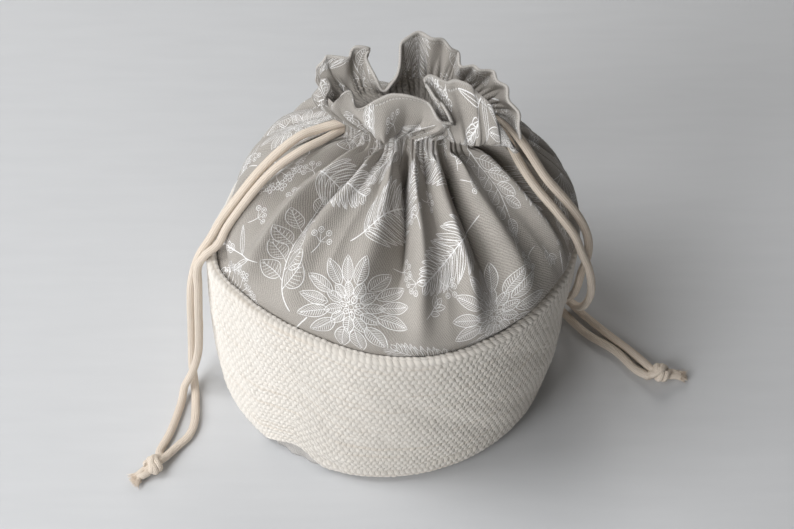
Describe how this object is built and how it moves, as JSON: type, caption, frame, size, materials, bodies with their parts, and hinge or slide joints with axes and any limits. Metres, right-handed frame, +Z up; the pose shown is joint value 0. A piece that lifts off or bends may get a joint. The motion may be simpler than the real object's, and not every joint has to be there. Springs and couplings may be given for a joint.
{
  "type": "kinchaku drawstring pouch",
  "caption": "Round drawstring pouch with a woven cotton band, a gathered cloth top, a ruffled frill and two knotted drawcords.",
  "frame": {"origin": "on the underside of the base cloth, on the surface it stands on, under the middle of the rim", "axes": "+Z up towards the frill, -Y towards the front, where the front panel's frill folds down; +X towards the right drawcord's vent"},
  "size_m": [0.3077, 0.1947, 0.2123],
  "materials": {
    "woven_cotton": "matt, coarse weave",
    "printed_cotton": "matt, fine weave with a white line print",
    "plain_cotton": "matt, fine weave",
    "cotton_cord": "matt, soft knitted cord"
  },
  "bodies": {
    "root": {"base_panel": "plain_cotton", "lining": "plain_cotton", "woven_band": "woven_cotton", "front_panel": "printed_cotton", "back_panel": "printed_cotton", "left_drawcord": "cotton_cord", "right_drawcord": "cotton_cord", "left_knot": "cotton_cord", "right_knot": "cotton_cord"}
  },
  "joints": []
}
